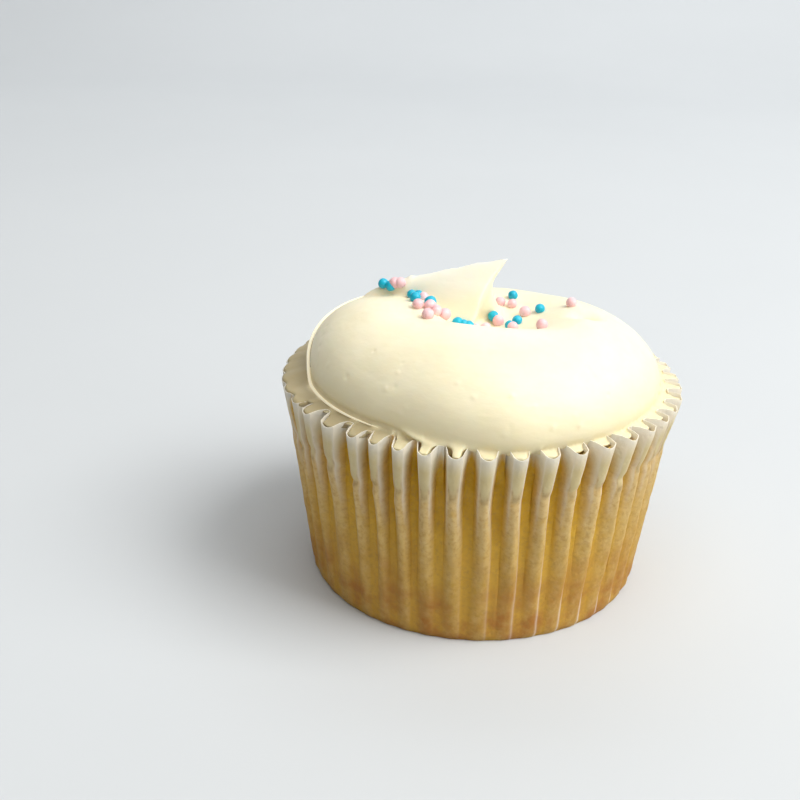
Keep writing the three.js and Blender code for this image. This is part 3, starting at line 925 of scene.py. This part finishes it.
draws = seeded_draws(5)
pearls = {"b": [], "p": []}
for x, y, colours in PEARL_PLACES:
    for i, colour in enumerate(colours):
        turn = PEARL_TURN + i * GOLDEN_ANGLE
        reach = PEARL_SPACING * math.sqrt(i)
        place, normal = lowest_cream(x + reach * math.cos(turn), y + reach * math.sin(turn))
        size = PEARL_RADIUS * (1 + PEARL_SPREAD * (next(draws) - 0.5))
        spin = Matrix.Rotation(next(draws) * TURN, 4, "Z")
        centre = place + normal * size * (1 - PEARL_SUNK)
        select_only(first_pearl)
        bpy.ops.object.duplicate()
        copy = bpy.context.object
        copy.data.transform(Matrix.Translation(centre * MM) @ spin @ Matrix.Scale(size * MM, 4))
        pearls[colour].append(copy)
bpy.data.objects.remove(first_pearl)


def join(pieces, name):
    select_only(pieces[0])
    for piece in pieces:
        piece.select_set(True)
    bpy.ops.object.join()
    return new_piece(name)


blue_pearls = join(pearls["b"], "blue_pearls")
pink_pearls = join(pearls["p"], "pink_pearls")
print("pearls", {key: len(made) for key, made in pearls.items()})

# %% Sugar's finish
def sugar(name, light, dark, roughness):
    material, tree, shader = new_material(name)
    tint = use_group(tree, drift, Scale=700.0, From=0.3, To=0.7, Light=light, Dark=dark)
    grain = use_group(tree, skin, Wave_Scale=1500.0, Pit_Scale=2500.0, Waves=0.6, Pits=0.3,
                      Depth=0.00005)
    read_place(tree, tint, grain)
    wire(tree, (tint, "Colour", shader, "Base Color"), (grain, "Normal", shader, "Normal"))
    set_inputs(shader, Roughness=roughness, Subsurface_Weight=0.15,
               Subsurface_Radius=(1.0, 0.6, 0.6), Subsurface_Scale=0.0008)
    return material


blue_sugar = sugar("blue_sugar", (0.0, 0.50, 0.68, 1), (0.0, 0.38, 0.58, 1), 0.38)
pink_sugar = sugar("pink_sugar", (0.92, 0.64, 0.68, 1), (0.84, 0.46, 0.50, 1), 0.42)
for piece, finish, slot in [
    (blue_pearls, blue_sugar, "pearl_blue"), (pink_pearls, pink_sugar, "pearl_pink"),
]:
    piece.data.materials.append(finish)
    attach(piece, "root"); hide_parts("frosting")

# %% [markdown]
# ## The sponge
# Only slivers of the sponge show, in the mouths of the pleats on the right, where it browned under
# the cream. It is built like the case: a disc whose rim is extruded upwards ring by ring, each
# ring then put on its outline. It fills the pleats up to its shoulder, leaves them there, except
# on the front right where it rose, and closes in a low dome.

# %% A disc extruded ring by ring
def ringed_cup(name, columns, rings):
    """Ring number k stands k units high, so that every point can be told by its height."""
    bpy.ops.mesh.primitive_circle_add(vertices=columns, radius=1, fill_type="TRIFAN")
    cup = new_piece(name)
    bpy.ops.object.mode_set(mode="EDIT")
    select_edges(cup, lambda edge: edge.is_boundary)
    for _ in range(rings - 1):
        extrude(0, 0, 1)
    return cup


def ring_and_column(cup, columns):
    points = points_of(cup)
    ring = np.rint(points[:, 2]).astype(int)
    column = np.rint(np.arctan2(points[:, 1], points[:, 0]) / TURN * columns).astype(int) % columns
    centre = np.hypot(points[:, 0], points[:, 1]) < 0.5
    return ring, column, centre


# %% Shape the sponge
SPONGE_INSET = 0.35
SPONGE_HEIGHTS = [0.6, 1.2, 4, 8, 12, 16, 20, 24, 27, 28.5, 29.5, 30.8, 32, 33.5, 34.8]
SPONGE_STEPS = (5, 3)
SPONGE_PLEAT = len(pleat_points(20, *SPONGE_STEPS))
RISEN_FROM, RISEN_TO = (-94, -76), (15, 60)
RISEN_HEIGHT = 37.6
SHRUNK = 0.82


def sponge_outline(z, sunk):
    """From the front to the right the sponge rose and stays in the pleats up to its edge."""
    degrees_round = np.degrees(case_outline(z, *SPONGE_STEPS)[1])
    risen = smooth(*RISEN_FROM, degrees_round) * (1 - smooth(*RISEN_TO, degrees_round))
    angle, radius = case_outline(z, *SPONGE_STEPS, sunk * (1 - 0.9 * risen))[1:]
    return angle.ravel(), radius.ravel() - SPONGE_INSET, risen.ravel()


columns = PLEATS * SPONGE_PLEAT
outlines = []
for z in SPONGE_HEIGHTS:
    angle, radius, risen = sponge_outline(z, SHRUNK * smooth(28, 33.5, z))
    outlines.append((angle, radius, np.full(columns, z)))
edge_radius = mix(np.full(columns, CAKE_EDGE_RADIUS), radius + 0.2, risen)
edge_height = mix(CAKE_EDGE_HEIGHT, RISEN_HEIGHT, risen)
outlines.append((angle, edge_radius, edge_height - 0.4))
for share in (0.985, 0.93, 0.8, 0.6, 0.35, 0.12):
    inner = edge_radius * share
    top = np.minimum(edge_height, cake_top(inner))
    outlines.append((angle, inner, top + (1 - share) * 0.4))

sponge = ringed_cup("sponge", columns, len(outlines))
extrude(0, 0, 1)
bpy.ops.mesh.merge(type="CENTER")
bpy.ops.object.mode_set(mode="OBJECT")
ring, column, centre = ring_and_column(sponge, columns)
crumb = np.zeros((len(ring), 3))
for k, (angle, radius, z) in enumerate(outlines):
    mine = ring == k
    crumb[mine] = np.stack([radius * np.cos(angle), radius * np.sin(angle), z], 1)[column[mine]]
crumb[centre & (ring == 0)] = (0, 0, SPONGE_HEIGHTS[0])
crumb[centre & (ring > 0)] = (0, 0, CAKE_DOME_HEIGHT)
place_points(sponge, crumb * MM)
face_outwards(sponge)
bpy.ops.object.shade_smooth()
crumbs = bpy.data.textures.new("crumbs", "CLOUDS")
crumbs.noise_scale = 1.4 * MM
modify(sponge, "DISPLACE", texture=crumbs, strength=0.25 * MM, mid_level=0.5)
print("sponge", triangles(sponge), "triangles")

# %% Sponge's finish
baked, tree, shader = new_material("baked_crumb")
tint = use_group(tree, drift, Scale=420.0, From=0.35, To=0.65,
                 Light=(0.82, 0.60, 0.20, 1), Dark=(0.62, 0.36, 0.08, 1))
pores = use_group(tree, skin, Wave_Scale=900.0, Pit_Scale=1100.0, Waves=0.8, Pits=1.0,
                  Depth=0.0004)
read_place(tree, tint, pores)
wire(tree, (tint, "Colour", shader, "Base Color"), (pores, "Normal", shader, "Normal"))
set_inputs(shader, Roughness=0.85, Subsurface_Weight=0.1, Subsurface_Scale=0.001)
sponge.data.materials.append(baked)
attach(sponge, "root"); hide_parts("cake")

# %% [markdown]
# ## The paper case
# The real case is one sheet, about a twentieth of a millimetre thick, that was pressed into pleats.
# Cloth simulation could fold it, but the pleats are regular, so the same ringed cup is shaped by
# the rule of the pleats, with small slow drifts so that no two are alike. The corners of each ridge
# stand up at the rim as little horns. Where the sponge rose against the paper it stuck, so there
# the paper is drawn in a little at the sponge's shoulder and is finely crumpled. A thin Solidify
# gives the sheet its thickness.

# %% Shape the case
PAPER = 0.14
RIDGE_STEPS = 9
VALLEY_STEPS = 5
CASE_HEIGHTS = np.concatenate(
    [[0, 0.15, 0.5, 1.1], np.linspace(2, 26, 20), np.linspace(26.6, RIM_HEIGHT, 25)])
SHOULDER = 29.4
ARCH_TOP = 36.8
PINCH = 0.32
HORN_DIP, HORN_RISE, VALLEY_RISE = -0.45, 0.9, 0.5
RIM_PRESSED_FROM = (52, 66)

case_pleat = pleat_points(20, RIDGE_STEPS, VALLEY_STEPS)
columns = PLEATS * len(case_pleat)
case = ringed_cup("paper_case_sheet", columns, len(CASE_HEIGHTS))
bpy.ops.object.mode_set(mode="OBJECT")
ring, column, centre = ring_and_column(case, columns)
sheet = np.zeros((len(ring), 3))
masks = {name: np.zeros(len(ring)) for name in ("ridge", "fold_highlight", "bond", "line")}
for k, z in enumerate(CASE_HEIGHTS):
    points, angle, radius = case_outline(z, RIDGE_STEPS, VALLEY_STEPS)
    share, out = points[:, 0], points[:, 1]
    on_ridge = np.clip(out / CORNER_OUT, 0, 1)
    radius = radius - 0.5 * (1 - smooth(-0.2, 1.2, z))
    pinch = bump(z, SHOULDER + wander(z, 4.5, 1.6), 0.9)
    radius -= PINCH * pinch[:, None] * on_ridge[None, :]
    across = np.abs(share / ridge_share(z) * 2 - 1)
    horns = np.where(across < 1, mix(HORN_DIP, HORN_RISE, across ** 2.2), VALLEY_RISE)
    past = degrees_past(angle)
    pressed = 0.9 * smooth(*RIM_PRESSED_FROM, past) * (1 - smooth(*PRESSED_TO, past))
    high = z + smooth(32.5, RIM_HEIGHT, z) * horns[None, :] * (1 - pressed)
    off_valley = np.abs((share - (1 + ridge_share(z)) / 2 + 0.5) % 1 - 0.5) * 2
    arch = mix(ARCH_TOP, SHOULDER, np.clip(off_valley / 0.82, 0, 1) ** 1.5)
    top = arch[None, :] + wander(z, 5.5, 2.2)[:, None]
    stuck = 1 - smooth(-2.4, 2.8, z - top)
    lined = bump(z - top, 0, 0.55) * smooth(0.35, 0.8, off_valley)[None, :]
    ribbed = smooth(BOXED_ABOVE, RIBBED_BELOW, z)
    # Painted highlight: a bright line along the right fold of each ridge and a fainter one along
    # its left fold; on the low ribs it is painted mostly on the right of the case, towards the
    # light.
    right_edge = mix(ridge_share(z) - SIDE_SHARE, 0.62, ribbed)
    lit = mix(1, smooth(0.4, 0.85, 0.5 + 0.5 * np.cos(angle)), ribbed)
    fold_highlight_share = bump(share, right_edge, 0.045)[None, :] * lit
    fold_highlight_share = fold_highlight_share + 0.6 * bump(share, SIDE_SHARE, 0.03) * (1 - ribbed)
    mine = ring == k
    which = column[mine]
    place = np.stack([radius * np.cos(angle), radius * np.sin(angle), high], 2).reshape(-1, 3)
    sheet[mine] = place[which]
    masks["ridge"][mine] = np.tile(on_ridge, PLEATS)[which]
    masks["fold_highlight"][mine] = fold_highlight_share.ravel()[which]
    masks["bond"][mine] = stuck.ravel()[which]
    masks["line"][mine] = lined.ravel()[which]
crumple = np.array([noise(Vector(p) / 1.9) for p in sheet]) + 0.6 * np.array(
    [noise(Vector(p) / 0.9) for p in sheet])
away = sheet * (1, 1, 0) / np.maximum(np.hypot(sheet[:, 0], sheet[:, 1]), 1)[:, None]
sheet += away * (crumple * (0.03 + 0.09 * masks["bond"]) * smooth(0.4, 2, sheet[:, 2]))[:, None]
sheet[centre] = (0, 0, 0)
place_points(case, sheet * MM)
for name, values in masks.items():
    store(case, name, values)
face_outwards(case)
modify(case, "SOLIDIFY", thickness=PAPER * MM, offset=-1)
select_only(case)
bpy.ops.object.shade_smooth_by_angle(angle=math.radians(38))
print("case", triangles(case), "triangles")

# %% [markdown]
# Greaseproof paper is pale and lets light through where it stands free. Where it is stuck to the
# sponge, fat has made it clear and the golden crust shows, deeper in the valleys, with a brown ring
# at the shoulder and orange blotches near the floor. The masks for this were stored on the mesh as
# attributes, because they follow the pleats and not any straight axis.

# %% Greaseproof paper's finish
DRY_WHITE, LIT_CREASE = (0.95, 0.94, 0.91, 1), (1.0, 0.95, 0.84, 1)
PALE_BACK, PALE_VALLEY = (0.90, 0.77, 0.48, 1), (0.87, 0.61, 0.13, 1)
BROWNED, FLECK = (0.62, 0.29, 0.06, 1), (0.60, 0.36, 0.09, 1)

greaseproof, tree, shader = new_material("greaseproof_paper")
where = tree.nodes.new("ShaderNodeSeparateXYZ")
free_tint = use_group(tree, drift, Scale=260.0,
                      Light=(0.86, 0.77, 0.48, 1), Dark=(0.80, 0.69, 0.38, 1))
ridge_gold = use_group(tree, drift, Scale=620.0, From=0.3, To=0.7,
                       Light=(0.87, 0.66, 0.24, 1), Dark=(0.76, 0.52, 0.11, 1))
valley_gold = use_group(tree, drift, Scale=500.0, From=0.3, To=0.7,
                        Light=(0.86, 0.56, 0.04, 1), Dark=(0.72, 0.42, 0.01, 1))
ring_brown = use_group(tree, drift, Scale=900.0,
                       Light=(0.52, 0.34, 0.13, 1), Dark=(0.36, 0.20, 0.06, 1))
blotch = use_group(tree, drift, Scale=170.0, From=0.42, To=0.66)
ragged = use_group(tree, drift, Scale=480.0, From=0.2, To=0.8)
flecks = use_group(tree, drift, Scale=1300.0, From=0.48, To=0.75)
fibres = use_group(tree, skin, Wave_Scale=1500.0, Pit_Scale=900.0, Waves=1.0, Pits=0.6,
                   Depth=0.00012)
read_place(tree, where, free_tint, ridge_gold, valley_gold, ring_brown, blotch, ragged, flecks,
           fibres)
height_at = where.outputs["Z"]
is_ragged = ragged.outputs["Mask"]

# Where it is stuck: pale backs, golden valleys, browned near the floor, with fine flecks.
on_back = maths(tree, "MULTIPLY", maths(tree, "POWER", mask(tree, "ridge"), 0.85),
                maths(tree, "ADD", is_ragged, 0.55), clamp=True)
back_gold = tinted(tree, fade(tree, height_at, 0.012, 0.031, 0.6),
                   ridge_gold.outputs["Colour"], PALE_BACK)
floor_gold = tinted(tree, fade(tree, height_at, 0.031, 0.016, 0.55),
                    valley_gold.outputs["Colour"], PALE_VALLEY)
gold = tinted(tree, on_back, floor_gold, back_gold)
blotchy = maths(tree, "MULTIPLY", fade(tree, height_at, 0.019, 0.003),
                maths(tree, "ADD", blotch.outputs["Mask"], 0.35))
gold = tinted(tree, maths(tree, "MULTIPLY", blotchy, 0.95, clamp=True), gold, BROWNED)
gold = tinted(tree, maths(tree, "MULTIPLY", flecks.outputs["Mask"], 0.6), gold, FLECK)

# Where it stands free: pale, and dry and white at the rim.
free = tinted(tree, fade(tree, height_at, 0.0342, 0.0376, 0.85),
              free_tint.outputs["Colour"], DRY_WHITE)

# The ragged edge between the two, the brown ring along it, and a painted highlight along the folds.
uneven = maths(tree, "MULTIPLY", maths(tree, "SUBTRACT", is_ragged, 0.5), 0.35)
is_gold = fade(tree, maths(tree, "ADD", mask(tree, "bond"), uneven), 0.15, 0.85)
colour = tinted(tree, is_gold, free, gold)
broken_line = maths(tree, "MULTIPLY", mask(tree, "line"), is_ragged)
colour = tinted(tree, maths(tree, "MULTIPLY", broken_line, 0.8, clamp=True),
                colour, ring_brown.outputs["Colour"])
colour = tinted(tree, maths(tree, "MULTIPLY", mask(tree, "fold_highlight"), 0.85), colour, LIT_CREASE)
link(tree, colour, shader.inputs["Base Color"])
set_inputs(shader, Roughness=0.5, Specular_IOR_Level=0.3)
through = tree.nodes.new("ShaderNodeBsdfTranslucent")
link(tree, colour, through.inputs["Color"])
both = add_node(tree, "ShaderNodeMixShader", Fac=0.42)
wire(tree, (fibres, "Normal", shader, "Normal"), (shader, "BSDF", both, 1),
     (through, "BSDF", both, 2), (both, "Shader", tree.nodes["Material Output"], "Surface"))
case.data.materials.append(greaseproof)
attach(case, "root"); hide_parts("paper_case")
